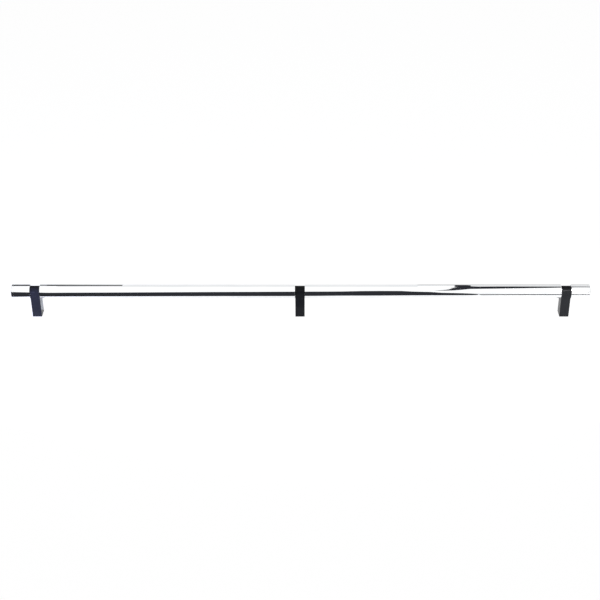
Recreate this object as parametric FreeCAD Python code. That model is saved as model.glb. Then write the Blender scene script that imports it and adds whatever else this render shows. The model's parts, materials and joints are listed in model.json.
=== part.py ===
import FreeCAD, Part
import os

# Wall or joist mounted pull up bar. A stack of polished tubes and end caps is clamped on
# one solid core rod, which runs through the heads of three black posts.
#
# Frame: the origin is the centre of the middle post's foot, on the mounting surface.
# +X runs along the bar, to the right. +Z goes from the mounting surface to the bar.
# -Y is the front, and +Y is the back, where the lock screws are.
# Left pieces are the mirror image of right ones in the plane X = 0. Millimetres.

V = FreeCAD.Vector
ALONG_X = V(1, 0, 0)
ALONG_Y = V(0, 1, 0)
ALONG_Z = V(0, 0, 1)

# Bar
BAR_LENGTH = 1328.0
BAR_RADIUS = 31.75 / 2
AXIS_HEIGHT = 61.0
TUBE_WALL = 2.0
TUBE_BORE = BAR_RADIUS - TUBE_WALL
TUBE_CHAMFER = 0.3

# Posts
POST_SPACING = 610.0
POST_WIDTH = 21.5
HEAD_RADIUS = 13.0
POST_EDGE = 0.6

# Tapped hole in each foot, at the tapping drill's size for an M10 stud
FOOT_HOLE_RADIUS = 8.5 / 2
FOOT_HOLE_DEPTH = 25.0
FOOT_HOLE_MOUTH = 1.0
DRILL_POINT = 0.6  # a drill's point is this many times its radius deep

# Core rod, and the clearance of whatever slides on it
CORE_RADIUS = 9.0
SLIDE_GAP = 0.1
CORE_CHAMFER = 1.0
CORE_END_GAP = 1.0  # the core stops this far short of the cap, so that the tubes are clamped

# Washers between posts and tubes
WASHER_RADIUS = 12.5
WASHER_THICKNESS = 0.5

# Rings inside the tubes
PLUG_LENGTH = 12.0
SPACER_LENGTH = 20.0
SPACER_GROOVE = 1.0

# End caps
CAP_THICKNESS = 5.0
CAP_ROUNDING = 1.2
SPIGOT_LENGTH = 6.0
SPIGOT_CHAMFER = 0.5

# Screws: thread radius and pitch. Their threads are rings of the real depth.
STUD_RADIUS = 4.9
STUD_PITCH = 1.5
STUD_TURNS = 13
STUD_HOLE_IN_CAP = 8.0
STUD_HOLE_IN_CORE = 18.0
LOCK_RADIUS = 2.9
LOCK_PITCH = 1.0
LOCK_TURNS = 2
LOCK_RECESS = 0.5
LOCK_MOUTH = 0.4
LOCK_TIP_CLEARANCE = 0.1
THREAD_DEPTH = 0.54  # of the pitch
THREAD_GAP = 0.1
LOCK_KEY = 3.0  # across flats
STUD_KEY = 5.0
KEY_DEPTH = 1.6

# Places along the bar
CAP_FACE = BAR_LENGTH / 2
OUTER_TUBE_END = CAP_FACE - CAP_THICKNESS
SPIGOT_END = OUTER_TUBE_END - SPIGOT_LENGTH
CORE_END = SPIGOT_END - CORE_END_GAP
HALF_POST = POST_WIDTH / 2
OUTER_TUBE_START = POST_SPACING + HALF_POST + WASHER_THICKNESS
GRIP_START = HALF_POST + WASHER_THICKNESS
GRIP_END = POST_SPACING - HALF_POST - WASHER_THICKNESS
POSTS = {"left": -POST_SPACING, "centre": 0.0, "right": POST_SPACING}


def turned(profile):
    """A solid turned about the bar's axis from (place along X, radius) corners."""
    corners = [V(x, 0, AXIS_HEIGHT + radius) for x, radius in profile]
    face = Part.Face(Part.makePolygon(corners + corners[:1]))
    return face.revolve(V(0, 0, AXIS_HEIGHT), ALONG_X, 360)


def ring(start, end, outside, bore, chamfer=0):
    """A turned ring, or a plain rod if it has no bore, whose outside edges may be chamfered."""
    blank = turned([(start, bore), (start, outside), (end, outside), (end, bore)])
    if not chamfer:
        return blank
    rims = [edge for edge in blank.Edges if edge.BoundBox.XLength < chamfer
            and edge.BoundBox.YLength > 2 * outside - chamfer]
    return blank.makeChamfer(chamfer, rims)


def mirrored(shape):
    """The left piece that matches a right one."""
    return shape.mirror(V(0, 0, 0), ALONG_X)


def screw(radius, pitch, turns, key, point):
    """A socket screw along +Z with its key end at the top and, if point > 0, a 90 degree cone below."""
    root = radius - THREAD_DEPTH * pitch
    top = point + turns * pitch
    outline = [V(0, 0, 0), V(root, 0, point)] if point else [V(0, 0, 0), V(root, 0, 0)]
    for turn in range(turns):
        outline.append(V(radius, 0, point + (turn + 0.5) * pitch))
        outline.append(V(root, 0, point + (turn + 1) * pitch))
    outline.append(V(0, 0, top))
    shank = Part.Face(Part.makePolygon(outline + outline[:1])).revolve(V(0, 0, 0), ALONG_Z, 360)
    return shank.cut(hexagon(key).translated(V(0, 0, top - KEY_DEPTH)))


def hexagon(across_flats):
    """The prism that cuts a key's socket."""
    corner = V(across_flats / 3 ** 0.5, 0, 0)
    turn = FreeCAD.Rotation(ALONG_Z, 60)
    corners = [corner]
    for _ in range(6):
        corners.append(turn.multVec(corners[-1]))
    corners[-1] = corners[0]
    return Part.Face(Part.makePolygon(corners)).extrude(V(0, 0, 2 * KEY_DEPTH))


def core_rod():
    """One solid rod, tapped at both ends, with a dimple for each post's lock screw."""
    rod = ring(-CORE_END, CORE_END, CORE_RADIUS, 0, CORE_CHAMFER)
    hole = stud_hole(CORE_END - STUD_HOLE_IN_CORE, CORE_END)
    rod = rod.cut(hole).cut(mirrored(hole))
    depth = dimple_depth()
    for x in POSTS.values():
        bottom = V(x, CORE_RADIUS - depth, AXIS_HEIGHT)
        rod = rod.cut(Part.makeCone(0, 2 * depth, 2 * depth, bottom, ALONG_Y))
    return rod


def dimple_depth():
    """How deep the lock screws' cones reach into the core, with room at the tip."""
    threaded = LOCK_TURNS * LOCK_PITCH
    cone = LOCK_RADIUS - THREAD_DEPTH * LOCK_PITCH
    tip = HEAD_RADIUS - LOCK_RECESS - threaded - cone
    return CORE_RADIUS - tip + LOCK_TIP_CLEARANCE


def stud_hole(start, end):
    """The tapped hole that a cap stud sits in."""
    radius = STUD_RADIUS + THREAD_GAP
    return Part.makeCylinder(radius, end - start, V(start, 0, AXIS_HEIGHT), ALONG_X)


def tube(start, end):
    """A polished tube whose ends are lightly chamfered."""
    return ring(start, end, BAR_RADIUS, TUBE_BORE, TUBE_CHAMFER)


def plug(start):
    """A steel ring pressed in a tube's end, which centres the tube on the core."""
    return ring(start, start + PLUG_LENGTH, TUBE_BORE, CORE_RADIUS + SLIDE_GAP)


def spacer():
    """The ring at mid-span, with a groove at its waist that lets it be pushed in."""
    middle = (GRIP_START + GRIP_END) / 2
    start = middle - SPACER_LENGTH / 2
    end = middle + SPACER_LENGTH / 2
    bore = CORE_RADIUS + SLIDE_GAP
    outside = TUBE_BORE - SLIDE_GAP
    waist = outside - SPACER_GROOVE
    profile = [
        (start, bore),
        (start, outside),
        (middle - SPACER_LENGTH / 4, outside),
        (middle - SPACER_LENGTH / 4, waist),
        (middle + SPACER_LENGTH / 4, waist),
        (middle + SPACER_LENGTH / 4, outside),
        (end, outside),
        (end, bore),
    ]
    return turned(profile)


def washer(start):
    """A thin ring between a post's side and a tube's end."""
    return ring(start, start + WASHER_THICKNESS, WASHER_RADIUS, CORE_RADIUS + SLIDE_GAP)


def end_cap():
    """The right cap: a disc with a rounded rim, and a spigot that is pressed in the tube."""
    profile = [
        (SPIGOT_END, 0),
        (SPIGOT_END, TUBE_BORE - SPIGOT_CHAMFER),
        (SPIGOT_END + SPIGOT_CHAMFER, TUBE_BORE),
        (OUTER_TUBE_END, TUBE_BORE),
        (OUTER_TUBE_END, BAR_RADIUS - TUBE_CHAMFER),
        (OUTER_TUBE_END + TUBE_CHAMFER, BAR_RADIUS),
        (CAP_FACE, BAR_RADIUS),
        (CAP_FACE, 0),
    ]
    cap = turned(profile)
    rim = [edge for edge in cap.Edges if edge.BoundBox.XMin > CAP_FACE - TUBE_CHAMFER and edge.Closed]
    cap = cap.makeFillet(CAP_ROUNDING, rim)
    return cap.cut(stud_hole(SPIGOT_END, SPIGOT_END + STUD_HOLE_IN_CAP))


def cap_studs():
    """The two set screws that tie the end caps to the core."""
    length = STUD_TURNS * STUD_PITCH
    stud = screw(STUD_RADIUS, STUD_PITCH, STUD_TURNS, STUD_KEY, 0)
    stud.rotate(V(0, 0, 0), ALONG_Y, 90)
    far_end = SPIGOT_END + STUD_HOLE_IN_CAP - THREAD_GAP
    stud.translate(V(far_end - length, 0, AXIS_HEIGHT))
    return Part.makeCompound([mirrored(stud), stud])


def lock_screws():
    """The three grub screws, each sunk a little below the back face of its post."""
    cone = LOCK_RADIUS - THREAD_DEPTH * LOCK_PITCH
    length = cone + LOCK_TURNS * LOCK_PITCH
    grub = screw(LOCK_RADIUS, LOCK_PITCH, LOCK_TURNS, LOCK_KEY, cone)
    grub.rotate(V(0, 0, 0), ALONG_X, -90)
    tip = HEAD_RADIUS - LOCK_RECESS - length
    return Part.makeCompound([grub.translated(V(x, tip, AXIS_HEIGHT)) for x in POSTS.values()])


def post_blank(x):
    """A flat-sided bar on end, with a round head about the bar's axis and softened edges."""
    start = x - HALF_POST
    front_foot = V(start, -HEAD_RADIUS, 0)
    front_shoulder = V(start, -HEAD_RADIUS, AXIS_HEIGHT)
    crown = V(start, 0, AXIS_HEIGHT + HEAD_RADIUS)
    back_shoulder = V(start, HEAD_RADIUS, AXIS_HEIGHT)
    back_foot = V(start, HEAD_RADIUS, 0)
    outline = [
        Part.makeLine(front_foot, front_shoulder),
        Part.Arc(front_shoulder, crown, back_shoulder).toShape(),
        Part.makeLine(back_shoulder, back_foot),
        Part.makeLine(back_foot, front_foot),
    ]
    blank = Part.Face(Part.Wire(outline)).extrude(V(POST_WIDTH, 0, 0))
    shoulders = [edge for edge in blank.Edges if edge.BoundBox.ZMin > AXIS_HEIGHT - POST_EDGE
                 and edge.BoundBox.ZMax < AXIS_HEIGHT + POST_EDGE]
    sharp = [edge for edge in blank.Edges if not any(edge.isSame(other) for other in shoulders)]
    return blank.makeFillet(POST_EDGE, sharp)


def foot_hole(x):
    """A blind tapped hole with a drill point above it and a countersunk mouth."""
    wall = Part.makeCylinder(FOOT_HOLE_RADIUS, FOOT_HOLE_DEPTH, V(x, 0, 0))
    point = Part.makeCone(FOOT_HOLE_RADIUS, 0, DRILL_POINT * FOOT_HOLE_RADIUS, V(x, 0, FOOT_HOLE_DEPTH))
    mouth = Part.makeCone(FOOT_HOLE_RADIUS + FOOT_HOLE_MOUTH, FOOT_HOLE_RADIUS, FOOT_HOLE_MOUTH, V(x, 0, 0))
    return wall.fuse([point, mouth])


def lock_hole(x):
    """The tapped hole from the back face to the cross bore, with a countersunk mouth."""
    radius = LOCK_RADIUS + THREAD_GAP
    wall = Part.makeCylinder(radius, HEAD_RADIUS, V(x, 0, AXIS_HEIGHT), ALONG_Y)
    inner = V(x, HEAD_RADIUS - LOCK_MOUTH, AXIS_HEIGHT)
    mouth = Part.makeCone(radius, radius + 2 * LOCK_MOUTH, 2 * LOCK_MOUTH, inner, ALONG_Y)
    return wall.fuse(mouth)


def post(x):
    """A post with its cross bore, its lock screw's hole and the tapped hole in its foot."""
    bore = Part.makeCylinder(CORE_RADIUS + SLIDE_GAP, POST_WIDTH, V(x - HALF_POST, 0, AXIS_HEIGHT), ALONG_X)
    return post_blank(x).cut([bore, foot_hole(x), lock_hole(x)])


def save(name, shape):
    """One STEP file per node, named after it."""
    assert shape.isValid(), name
    shape.exportStep("parts/" + name + ".step")
    print(name, len(shape.Solids), "solid(s),", round(shape.Volume), "mm3")


def save_pair(name, right_shape, ending=""):
    """A right piece and its mirror image on the left."""
    save(name + "_left" + ending, mirrored(right_shape))
    save(name + "_right" + ending, right_shape)


os.makedirs("parts", exist_ok=True)
save("core_rod", core_rod())
save_pair("grip_sleeve", tube(GRIP_START, GRIP_END))
save_pair("outer_sleeve", tube(OUTER_TUBE_START, OUTER_TUBE_END))
save_pair("grip_plug", plug(GRIP_START), "_inner")
save_pair("grip_plug", plug(GRIP_END - PLUG_LENGTH), "_outer")
save_pair("outer_plug", plug(OUTER_TUBE_START))
save_pair("grip_spacer", spacer())
save_pair("post_washer_centre", washer(HALF_POST))
save_pair("post_washer", washer(GRIP_END), "_inner")
save_pair("post_washer", washer(POST_SPACING + HALF_POST), "_outer")
save_pair("end_cap", end_cap())
for side, place in POSTS.items():
    save("post_" + side, post(place))
save("cap_studs", cap_studs())
save("lock_screws", lock_screws())
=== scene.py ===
import json
import math

import bmesh
import bpy
from mathutils import Matrix, Vector


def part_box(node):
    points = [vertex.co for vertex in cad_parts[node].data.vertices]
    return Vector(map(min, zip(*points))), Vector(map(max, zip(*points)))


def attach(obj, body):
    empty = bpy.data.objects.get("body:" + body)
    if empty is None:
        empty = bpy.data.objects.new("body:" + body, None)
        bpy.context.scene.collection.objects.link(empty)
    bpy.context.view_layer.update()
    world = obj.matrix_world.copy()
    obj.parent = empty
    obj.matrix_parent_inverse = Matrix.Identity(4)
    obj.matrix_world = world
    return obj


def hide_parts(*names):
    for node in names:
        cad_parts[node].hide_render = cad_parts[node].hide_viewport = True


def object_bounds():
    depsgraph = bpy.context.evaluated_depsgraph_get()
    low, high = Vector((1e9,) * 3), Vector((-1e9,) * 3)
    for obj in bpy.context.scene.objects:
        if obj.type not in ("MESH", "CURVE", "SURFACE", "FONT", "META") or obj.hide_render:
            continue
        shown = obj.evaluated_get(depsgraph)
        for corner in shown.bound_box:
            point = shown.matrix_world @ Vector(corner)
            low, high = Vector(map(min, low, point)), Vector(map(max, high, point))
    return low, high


# Pull up bar: mirror-chromed tubes and end caps, clamped on a steel core between three black posts.
# The frame is the CAD model's: +X along the bar, -Y the front, +Z from the feet to the bar, in metres.

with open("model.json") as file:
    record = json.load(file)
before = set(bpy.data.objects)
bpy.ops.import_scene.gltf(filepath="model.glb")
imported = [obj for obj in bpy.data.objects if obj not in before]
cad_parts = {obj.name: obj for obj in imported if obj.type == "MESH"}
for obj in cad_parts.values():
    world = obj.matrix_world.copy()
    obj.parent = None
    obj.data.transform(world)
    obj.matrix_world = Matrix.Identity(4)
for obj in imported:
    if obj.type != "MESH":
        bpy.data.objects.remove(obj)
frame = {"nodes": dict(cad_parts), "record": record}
cad_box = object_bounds()

MM = 0.001

# The bar and the posts, read from the frame
TUBE_LOW, TUBE_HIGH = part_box("grip_sleeve_right")
BAR_RADIUS = (TUBE_HIGH.z - TUBE_LOW.z) / 2
AXIS_Z = (TUBE_HIGH.z + TUBE_LOW.z) / 2
MIDDLE_Z = cad_box[1].z / 2
POST_LOW, POST_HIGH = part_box("post_right")
POST_X = (POST_LOW.x + POST_HIGH.x) / 2

# Turned pieces
TUBE_WALL = 2 * MM
TUBE_BORE = BAR_RADIUS - TUBE_WALL
EDGE_RADIUS = 0.35 * MM  # buffing rounds the tubes' cut ends by about this much
EDGE_RING = 1 * MM  # a ring of points this far from each cut end keeps the long wall's shading straight
EDGE_STEPS = 5  # flats across a rounded edge
SIDES = 144  # flats round a turned piece, fine enough for a mirror
RING_SPACING = 20 * MM  # between the rings of points along a tube
SHARP_ANGLE = math.radians(40)

# End caps
RIM_RADIUS = 1.2 * MM
RIM_STEPS = 8
RIM_RING = 0.5 * MM  # a ring of points this far beyond the rim's rounding, on the face and on the side
SEAM_RING = 0.8 * MM  # and one this far from the seam with the tube
STUD_HOLE_RADIUS = 5 * MM
STUD_HOLE_DEPTH = 8 * MM


def linear(hex_colour):
    """An sRGB hex colour as linear RGBA."""
    values = [int(hex_colour[i:i + 2], 16) / 255 for i in (1, 3, 5)]
    steps = [v / 12.92 if v <= 0.04045 else ((v + 0.055) / 1.055) ** 2.4 for v in values]
    return (*steps, 1.0)


def per_metre(size):
    """A texture's scale, from the real size in metres of one of its features."""
    return 1.0 / size


def placed(name, data):
    """Puts a new object in the scene."""
    thing = bpy.data.objects.new(name, data)
    bpy.context.scene.collection.objects.link(thing)
    return thing


# ---------------------------------------------------------------- materials


def add(tree, kind, inputs=None, **settings):
    """Adds a node with its settings. An input is a value, or the socket that feeds it."""
    node = tree.nodes.new(kind)
    for name, value in settings.items():
        setattr(node, name, value)
    for name, value in (inputs or {}).items():
        if isinstance(value, bpy.types.NodeSocket):
            tree.links.new(value, node.inputs[name])
        else:
            node.inputs[name].default_value = value
    return node


def new_material(name):
    """An empty material, and its node tree."""
    material = bpy.data.materials.new(name)
    material.use_nodes = True
    material.node_tree.nodes.clear()
    return material, material.node_tree


def finished(material, shader):
    """Joins the shader to the material's output."""
    add(material.node_tree, "ShaderNodeOutputMaterial", {"Surface": shader.outputs[0]})
    return material


def stretched_place(tree, along, around):
    """Object coordinates scaled so that a noise cell is one size along the bar and another round it."""
    place = add(tree, "ShaderNodeTexCoord").outputs["Object"]
    scale = (per_metre(along), per_metre(around), per_metre(around))
    return add(tree, "ShaderNodeMapping", {"Vector": place, "Scale": scale}).outputs[0]


def ramp(tree, factor, low, high, low_at=0.0, high_at=1.0):
    """A colour or grey ramp between two stops."""
    node = add(tree, "ShaderNodeValToRGB", {"Fac": factor})
    stops = node.color_ramp.elements
    stops[0].position, stops[1].position = low_at, high_at
    stops[0].color, stops[1].color = low, high
    return node.outputs["Color"]


def grey(value):
    return (value, value, value, 1.0)


def mirror_chrome():
    """Bright chrome over nickel on steel tube, belt ground and then buffed to a mirror.

    It reflects the room sharply. Grinding leaves long shallow waves that make straight
    reflections waver a little, and buffing leaves a fine haze that comes and goes.
    """
    material, tree = new_material("mirror_chrome")
    waves = add(tree, "ShaderNodeTexNoise", {
        "Vector": stretched_place(tree, 90 * MM, 25 * MM), "Scale": 1.0, "Detail": 1.0})
    # Real buffing lines are some 0.05 mm apart; 0.8 mm is as fine as shows.
    lines = add(tree, "ShaderNodeTexNoise", {
        "Vector": stretched_place(tree, 0.8 * MM, 30 * MM), "Scale": 1.0, "Detail": 2.0})
    haze = add(tree, "ShaderNodeTexNoise", {
        "Vector": stretched_place(tree, 60 * MM, 12 * MM), "Scale": 1.0, "Detail": 4.0})
    soft = add(tree, "ShaderNodeBump", {
        "Height": waves.outputs["Fac"], "Strength": 1.0, "Distance": 0.02 * MM})
    normal = add(tree, "ShaderNodeBump", {
        "Height": lines.outputs["Fac"], "Strength": 0.25, "Distance": 0.0006 * MM,
        "Normal": soft.outputs["Normal"]})
    shader = add(tree, "ShaderNodeBsdfPrincipled", {
        "Base Color": ramp(tree, haze.outputs["Fac"], linear("#EFF1F3"), linear("#F6F7F8"), 0.35, 0.65),
        "Metallic": 1.0,
        "Roughness": ramp(tree, haze.outputs["Fac"], grey(0.015), grey(0.05), 0.4, 0.75),
        "Normal": normal.outputs["Normal"]})
    return finished(material, shader)


def black_powder_coat():
    """Fine-textured polyester powder coat, sprayed and baked on steel.

    Matting silica makes it satin, with a pebbled orange-peel skin that breaks highlights
    up, paler flecks, and a slight drift in gloss. A smooth film's IOR is 1.5; the pits in
    this skin trap most of what a film would mirror, which a lower IOR stands for.
    """
    material, tree = new_material("black_powder_coat")
    place = add(tree, "ShaderNodeTexCoord").outputs["Object"]
    # The pebbles are about 0.5 mm across; 1 mm is as fine as shows.
    peel = add(tree, "ShaderNodeTexNoise", {
        "Vector": place, "Scale": per_metre(1.0 * MM), "Detail": 1.0, "Roughness": 0.5})
    # The flecks are single grains of powder, some 0.05 mm across, so these are far coarser.
    fleck = add(tree, "ShaderNodeTexNoise", {
        "Vector": place, "Scale": per_metre(1.6 * MM), "Detail": 4.0, "Roughness": 0.6})
    drift = add(tree, "ShaderNodeTexNoise", {
        "Vector": place, "Scale": per_metre(14 * MM), "Detail": 2.0})
    bump = add(tree, "ShaderNodeBump", {
        "Height": peel.outputs["Fac"], "Strength": 1.0, "Distance": 0.035 * MM})
    shader = add(tree, "ShaderNodeBsdfPrincipled", {
        "Base Color": ramp(tree, fleck.outputs["Fac"], linear("#232427"), linear("#2C2D30"), 0.35, 0.65),
        "Roughness": ramp(tree, drift.outputs["Fac"], grey(0.16), grey(0.25), 0.3, 0.7),
        "IOR": 1.17,
        "Normal": bump.outputs["Normal"]})
    return finished(material, shader)


# The wave texture runs through this many of its units in one ring
WAVE_PERIOD = 2 * math.pi / 20


def turned_steel():
    """Bright steel faced in a lathe: fine rings left by the tool, slightly blurred highlights."""
    material, tree = new_material("turned_steel")
    place = add(tree, "ShaderNodeTexCoord").outputs["Object"]
    centred = add(tree, "ShaderNodeMapping", {"Vector": place, "Location": (0, 0, -AXIS_Z)})
    # The tool's feed is 0.1 mm; rings 0.5 mm apart are as fine as shows.
    rings = add(tree, "ShaderNodeTexWave", {
        "Vector": centred.outputs[0], "Scale": WAVE_PERIOD * per_metre(0.5 * MM), "Distortion": 0.4},
        wave_type="RINGS", rings_direction="X")
    bump = add(tree, "ShaderNodeBump", {
        "Height": rings.outputs["Fac"], "Strength": 0.3, "Distance": 0.01 * MM})
    tint = add(tree, "ShaderNodeTexNoise", {"Vector": place, "Scale": per_metre(8 * MM), "Detail": 3.0})
    shader = add(tree, "ShaderNodeBsdfPrincipled", {
        "Base Color": ramp(tree, tint.outputs["Fac"], linear("#A9ABAD"), linear("#BDBFC1"), 0.35, 0.65),
        "Metallic": 1.0,
        "Roughness": ramp(tree, rings.outputs["Fac"], grey(0.22), grey(0.32)),
        "Normal": bump.outputs["Normal"]})
    return finished(material, shader)


def black_oxide():
    """Black oxide on hardened screw steel: a thin, oiled, blue-black skin that still looks metallic."""
    material, tree = new_material("black_oxide")
    place = add(tree, "ShaderNodeTexCoord").outputs["Object"]
    oil = add(tree, "ShaderNodeTexNoise", {"Vector": place, "Scale": per_metre(1.5 * MM), "Detail": 4.0})
    shader = add(tree, "ShaderNodeBsdfPrincipled", {
        "Base Color": ramp(tree, oil.outputs["Fac"], linear("#2B2C30"), linear("#3B3A3C"), 0.35, 0.65),
        "Metallic": 0.8,
        "Roughness": ramp(tree, oil.outputs["Fac"], grey(0.28), grey(0.45), 0.3, 0.7)})
    return finished(material, shader)


def black_acetal():
    """Black acetal, turned from rod: a waxy, low-sheen plastic with faint tool marks."""
    material, tree = new_material("black_acetal")
    place = add(tree, "ShaderNodeTexCoord").outputs["Object"]
    marks = add(tree, "ShaderNodeTexNoise", {"Vector": place, "Scale": per_metre(0.8 * MM), "Detail": 3.0})
    bump = add(tree, "ShaderNodeBump", {
        "Height": marks.outputs["Fac"], "Strength": 0.3, "Distance": 0.01 * MM})
    shader = add(tree, "ShaderNodeBsdfPrincipled", {
        "Base Color": ramp(tree, marks.outputs["Fac"], linear("#1A1A1C"), linear("#242426"), 0.3, 0.7),
        "Roughness": ramp(tree, marks.outputs["Fac"], grey(0.4), grey(0.55)),
        "IOR": 1.48,
        "Normal": bump.outputs["Normal"]})
    return finished(material, shader)


def glowing(name, hex_colour, strength):
    """A reflector card's surface: an even glow that nothing shades."""
    material, tree = new_material(name)
    shader = add(tree, "ShaderNodeEmission", {"Color": linear(hex_colour), "Strength": strength})
    return finished(material, shader)


MATERIALS = {
    "polished_chrome": mirror_chrome(),
    "black_powder_coat": black_powder_coat(),
    "bright_steel": turned_steel(),
    "black_oxide": black_oxide(),
    "black_acetal": black_acetal(),
}

# ---------------------------------------------------------------- turned pieces


def rounded(x, radius, x_inwards, r_inwards, size, steps=EDGE_STEPS):
    """Points of a quarter-round corner at (x, radius), from the face side to the outside."""
    centre_x = x + x_inwards * size
    centre_r = radius + r_inwards * size
    points = []
    for i in range(steps + 1):
        turn = math.pi / 2 * i / steps
        points.append((centre_x - x_inwards * size * math.cos(turn),
                       centre_r - r_inwards * size * math.sin(turn)))
    return points


def between(start, end, spacing):
    """Evenly spaced places between start and end, neither included."""
    count = max(1, round(abs(end - start) / spacing))
    return [start + (end - start) * i / count for i in range(1, count)]


def ring_of_points(bm, x, radius):
    """The points that one (x, radius) corner of a profile makes as it turns."""
    if radius == 0:
        return [bm.verts.new((x, 0, AXIS_Z))]
    turns = [2 * math.pi * i / SIDES for i in range(SIDES)]
    return [bm.verts.new((x, radius * math.cos(a), AXIS_Z + radius * math.sin(a))) for a in turns]


def lathe(name, profile):
    """Turns a closed (x, radius) profile about the bar's axis into a smooth, closed mesh."""
    mesh = bpy.data.meshes.new(name)
    bm = bmesh.new()
    rings = [ring_of_points(bm, x, radius) for x, radius in profile]
    joins = list(zip(rings, rings[1:]))
    if profile[0][1] > 0:
        joins.append((rings[-1], rings[0]))
    for near, far in joins:
        for i in range(SIDES):
            j = (i + 1) % SIDES
            corners = [near[i % len(near)], near[j % len(near)], far[j % len(far)], far[i % len(far)]]
            bm.faces.new(list(dict.fromkeys(corners)))
    bmesh.ops.recalc_face_normals(bm, faces=bm.faces)
    bm.to_mesh(mesh)
    bm.free()
    mesh.shade_smooth()
    mesh.set_sharp_from_angle(angle=SHARP_ANGLE)
    return placed(name, mesh)


def tube_profile(start, end):
    """A tube with rounded ends, and rings of points along its outside."""
    near, far = start + EDGE_RING, end - EDGE_RING
    return [
        *rounded(start, BAR_RADIUS, 1, -1, EDGE_RADIUS),
        (near, BAR_RADIUS),
        *[(x, BAR_RADIUS) for x in between(near, far, RING_SPACING)],
        (far, BAR_RADIUS),
        *reversed(rounded(end, BAR_RADIUS, -1, -1, EDGE_RADIUS)),
        (end, TUBE_BORE),
        (start, TUBE_BORE),
    ]


def polished(piece, node):
    """A chromed piece that stands for its CAD node."""
    piece.data.materials.append(MATERIALS["polished_chrome"])
    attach(piece, "root")
    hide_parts(node)


def polished_tube(node):
    low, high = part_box(node)
    polished(lathe(node + "_polished", tube_profile(low.x, high.x)), node)


def polished_cap(node):
    """An end cap: a disc with a rounded rim and a spigot, with the stud's blind hole."""
    low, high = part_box(node)
    side = 1 if low.x > 0 else -1
    face = high.x if side > 0 else low.x
    spigot_end = low.x if side > 0 else high.x
    tube_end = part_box(node.replace("end_cap", "outer_sleeve"))[side > 0][0]
    hole_bottom = spigot_end + side * STUD_HOLE_DEPTH
    polished(lathe(node + "_polished", [
        (face, 0.0),
        (face, BAR_RADIUS / 2),
        (face, BAR_RADIUS - RIM_RADIUS - RIM_RING),
        *rounded(face, BAR_RADIUS, -side, -1, RIM_RADIUS, RIM_STEPS),
        (face - side * (RIM_RADIUS + RIM_RING), BAR_RADIUS),
        (tube_end + side * SEAM_RING, BAR_RADIUS),
        *reversed(rounded(tube_end, BAR_RADIUS, side, -1, EDGE_RADIUS)),
        (tube_end, TUBE_BORE),
        (spigot_end, TUBE_BORE),
        (spigot_end, STUD_HOLE_RADIUS),
        (hole_bottom, STUD_HOLE_RADIUS),
        (hole_bottom, 0.0),
    ]), node)


for node in ("grip_sleeve_left", "grip_sleeve_right", "outer_sleeve_left", "outer_sleeve_right"):
    polished_tube(node)
for node in ("end_cap_left", "end_cap_right"):
    polished_cap(node)

# ---------------------------------------------------------------- CAD pieces that keep their shape

slots = {entry["node"]: entry["material_slot"] for entry in frame["record"]["subparts"]}
for name, piece in frame["nodes"].items():
    piece.data.materials.clear()
    piece.data.materials.append(MATERIALS[slots[name]])

# ---------------------------------------------------------------- camera

CAMERA_ELEVATION = math.radians(31.07)
CAMERA_DISTANCE = 3.043
CAMERA_X = 0.0353
CAMERA_TARGET = Vector((0, 0, MIDDLE_Z - 1 * MM))
FOCAL_LENGTH = 79.3

camera = placed("camera", bpy.data.cameras.new("camera"))
camera.data.lens = FOCAL_LENGTH
camera.location = (
    CAMERA_X,
    -CAMERA_DISTANCE * math.cos(CAMERA_ELEVATION),
    AXIS_Z + CAMERA_DISTANCE * math.sin(CAMERA_ELEVATION),
)
# It is rolled a little about its line of sight, so that the bar lies level in the frame.
towards = (CAMERA_TARGET - camera.location).normalized()
up = Vector((1, 0, 0)).cross(towards).normalized()
right = towards.cross(up)
camera.rotation_euler = Matrix((right, up, -towards)).transposed().to_euler()
bpy.context.scene.camera = camera
bpy.context.scene.view_settings.view_transform = "Standard"

# ---------------------------------------------------------------- studio

WORLD_STRENGTH = 1.15
FLOOR_HALF = 6.0
FLOOR_GLOW = 0.97
CARD_RADIUS = 1.5  # how far the big cards stand from the bar
CARD_STEPS = 24  # flats up a curved card


def oblong(x_range, y_range):
    """The four corners of a rectangle."""
    (left, right), (near, far) = x_range, y_range
    return [(left, near), (right, near), (right, far), (left, far)]


def flat_sheet(name, corners, material):
    """One flat polygon."""
    mesh = bpy.data.meshes.new(name)
    mesh.from_pydata(corners, [], [list(range(len(corners)))])
    mesh.materials.append(material)
    sheet = placed(name, mesh)
    return sheet


def seen_only_in_reflections(card):
    card.visible_camera = False
    card.visible_diffuse = False
    card.visible_shadow = False
    card.visible_transmission = False


def curved_card(name, stations, material, radius=CARD_RADIUS):
    """A card bent about the bar. A station is (x, lowest, highest) in degrees round the bar,
    0 towards the front horizon and 90 straight up."""
    mesh = bpy.data.meshes.new(name)
    bm = bmesh.new()
    columns = []
    for x, low, high in stations:
        turns = [math.radians(low + (high - low) * i / CARD_STEPS) for i in range(CARD_STEPS + 1)]
        points = [(x, -radius * math.cos(a), AXIS_Z + radius * math.sin(a)) for a in turns]
        columns.append([bm.verts.new(point) for point in points])
    for near, far in zip(columns, columns[1:]):
        for i in range(CARD_STEPS):
            bm.faces.new((near[i], near[i + 1], far[i + 1], far[i]))
    bm.to_mesh(mesh)
    bm.free()
    mesh.materials.append(material)
    card = placed(name, mesh)
    seen_only_in_reflections(card)


def pale_floor():
    """A white acrylic light table: it glows, and still takes a faint shadow."""
    material, tree = new_material("pale_floor")
    shader = add(tree, "ShaderNodeBsdfPrincipled", {
        "Base Color": linear("#D8D8D8"), "Roughness": 0.9, "Specular IOR Level": 0.0,
        "Emission Color": linear("#FFFFFF"), "Emission Strength": FLOOR_GLOW})
    corners = [(x, y, 0) for x, y in oblong((-FLOOR_HALF, FLOOR_HALF), (-FLOOR_HALF, FLOOR_HALF))]
    flat_sheet("floor", corners, finished(material, shader))


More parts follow.
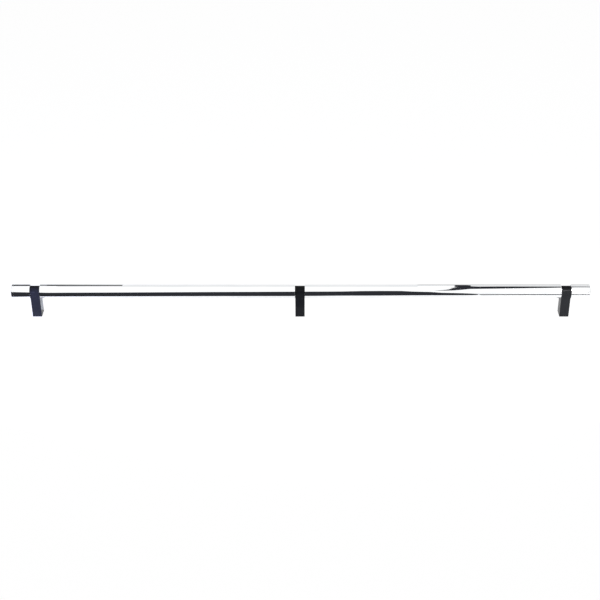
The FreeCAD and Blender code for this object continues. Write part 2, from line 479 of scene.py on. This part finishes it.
def softbox(name, place, target, side, power, hex_colour):
    """A square softbox that lights surfaces but isn't mirrored in the bar."""
    light = bpy.data.lights.new(name, "AREA")
    light.shape = "RECTANGLE"
    light.size = light.size_y = side
    light.energy = power
    light.color = linear(hex_colour)[:3]
    lamp = placed(name, light)
    lamp.location = place
    lamp.rotation_euler = (Vector(target) - Vector(place)).to_track_quat("-Z", "Y").to_euler()
    lamp.visible_glossy = False
    lamp.visible_camera = False


def white_surroundings():
    """White walls and ceiling, seen and mirrored. The softboxes and the table do the lighting."""
    world = bpy.data.worlds.new("studio")
    bpy.context.scene.world = world
    world.use_nodes = True
    tree = world.node_tree
    tree.nodes.clear()
    background = add(tree, "ShaderNodeBackground", {"Color": linear("#FFFFFF"), "Strength": WORLD_STRENGTH})
    add(tree, "ShaderNodeOutputWorld", {"Surface": background.outputs[0]})
    world.cycles_visibility.diffuse = False


# A small softbox stands in front of each end post and past it, aimed at the post's foot
SIDE_BOX_PAST, SIDE_BOX_FRONT, SIDE_BOX_UP = 0.14, 0.35, 0.10
SIDE_BOX_SIDE = 0.12
SIDE_AIM_Z = 0.03
TOP_BOX_Z, TOP_BOX_SIDE = 2.5, 4.0

white_surroundings()
pale_floor()
for name, way, power, hex_colour in (("left", -1, 2.7, "#BBC2FF"), ("right", 1, 1.1, "#FFFFFF")):
    place = (way * (POST_X + SIDE_BOX_PAST), -SIDE_BOX_FRONT, SIDE_BOX_UP)
    softbox(f"{name}_softbox", place, (way * POST_X, 0, SIDE_AIM_Z), SIDE_BOX_SIDE, power, hex_colour)
softbox("top_softbox", (0, 0, TOP_BOX_Z), (0, 0, 0), TOP_BOX_SIDE, 5, "#FFFFFF")

DARK_CARD = glowing("dark_card", "#E8ECFF", 0.035)
PALE_CARD = glowing("pale_card", "#FFFFFF", 0.93)
GREY_CARD = glowing("grey_card", "#FFFFFF", 0.50)
BRIGHT_CARD = glowing("bright_card", "#FFFFFF", 14.0)
LEFT_BRIGHT_CARD = glowing("left_bright_card", "#F0F4FF", 2.2)
MID_CARD = glowing("mid_card", "#F8F8FF", 0.28)
WALL_CARD = glowing("wall_card", "#F4F6FF", 0.55)

# The dark end of the studio in front of the table, from just below the horizon up to the white ceiling
FRONT_FOOT = -2.2
FRONT_TOPS = [
    (-2.25, 20), (-1.005, 19), (-0.955, 14), (-0.875, 7), (-0.665, 11), (-0.425, 16.5), (-0.155, 22),
    (0.125, 28), (0.195, 35), (0.255, 37), (0.33, 36), (0.365, 27), (0.43, 19.5), (0.465, 6.5),
    (0.525, 0), (0.545, -2.1)]
curved_card("front_dark_card", [(x, FRONT_FOOT, top) for x, top in FRONT_TOPS], DARK_CARD)

# A dark gap between the white ceiling and the white wall at the right
GAP_CARD = [
    (0.44, 41, 42), (0.48, 41, 55), (0.50, 43, 88), (0.512, 46, 158), (0.55, 63, 158), (0.565, 70, 125),
    (0.59, 71, 118), (0.655, 75, 121), (0.705, 79, 121), (0.775, 85, 120), (0.845, 90, 119),
    (0.925, 100, 118), (1.95, 102, 116)]
curved_card("overhead_gap_card", GAP_CARD, DARK_CARD)

# A dark strip behind, at the left, low enough to reach the table, with a paler gap in it
BACK_RADIUS = 0.5
BACK_CARD = [(-0.915, 129, 187), (-0.715, 131, 186), (-0.703, 131, 186)]
BACK_CARD_BESIDE = [(-0.682, 131, 184), (-0.595, 133, 174), (-0.515, 134, 170), (-0.48, 134, 168)]
BACK_GAP_CARD = [(-0.703, 131, 186), (-0.682, 131, 186)]
curved_card("back_dark_card", BACK_CARD, DARK_CARD, BACK_RADIUS)
curved_card("back_dark_card_beside", BACK_CARD_BESIDE, DARK_CARD, BACK_RADIUS)
curved_card("back_mid_card", BACK_GAP_CARD, MID_CARD, BACK_RADIUS)

# Pale and grey cards behind, down to the horizon, which draw the bar's upper edge
curved_card("back_pale_card", [(-0.85, 110, 181), (0.385, 110, 181)], PALE_CARD)
curved_card("back_grey_card", [(0.385, 146, 181), (2.2, 140, 181)], GREY_CARD)

# A brighter patch in the white at the right, which gives the end post's head its highlight
curved_card("right_bright_card", [(0.65, 34, 56), (0.95, 34, 56)], BRIGHT_CARD)

# Black card lying on the table in front of the bar, cut askew, and a narrow strip of it to the right
TABLE_CARD_Z = 0.3 * MM
TABLE_CARD = [
    (-1.6, 0), (-0.685, -0.022), (-0.665, -0.029), (-0.64, -0.034), (-0.59, -0.038), (-0.375, -0.045),
    (-0.19, -0.05), (-0.03, -0.052), (0.04, -0.058), (0.1, -0.068), (0.185, -0.07), (0.235, -0.076),
    (0.285, -0.082), (0.36, -0.086), (0.405, -0.092), (0.42, -0.105), (0.435, -0.21), (0.435, -0.345),
    (0.46, -0.7), (0.54, -1.6), (-2.2, -1.6)]
TABLE_STRIP = [(0.427, -0.099), (0.73, -0.096), (0.73, -0.235), (0.427, -0.185)]

# Dark strips behind the bar, with a gap beside each end post, and a grey one past each end
BACK_STRIPS = [(-0.73, -0.61), (-0.57, 0.57), (0.61, 0.73)]
BACK_STRIP_DEPTH = (0.04, 0.11)
END_STRIPS = [(-2.2, -0.74), (0.74, 2.2)]
END_STRIP_DEPTH = (-0.3, 0.3)

# A bright patch behind the left post, mirrored in the post's inner side
BRIGHT_PATCH = oblong((-0.607, -0.572), (0.018, 0.10))

table_cards = [("table_dark_card", TABLE_CARD, DARK_CARD), ("table_dark_strip", TABLE_STRIP, DARK_CARD)]
for number, x_range in enumerate(BACK_STRIPS, 1):
    table_cards.append((f"table_back_strip_{number}", oblong(x_range, BACK_STRIP_DEPTH), DARK_CARD))
for number, x_range in enumerate(END_STRIPS, 1):
    table_cards.append((f"table_end_strip_{number}", oblong(x_range, END_STRIP_DEPTH), MID_CARD))
table_cards.append(("table_bright_card", BRIGHT_PATCH, LEFT_BRIGHT_CARD))
for name, outline, material in table_cards:
    seen_only_in_reflections(flat_sheet(name, [(x, y, TABLE_CARD_Z) for x, y in outline], material))

# The studio's end walls: dark for nearly a metre above the table, then pale, then the white ceiling
END_WALL_X = 4.0
END_WALL_WIDTH = (-5.0, 5.0)
WALL_BANDS = [("dark", (0.01, 0.9), DARK_CARD), ("pale", (0.9, 2.6), WALL_CARD)]
for side, x in (("left", -END_WALL_X), ("right", END_WALL_X)):
    for tone, height, material in WALL_BANDS:
        corners = [(x, y, z) for y, z in oblong(END_WALL_WIDTH, height)]
        seen_only_in_reflections(flat_sheet(f"{side}_{tone}_wall", corners, material))
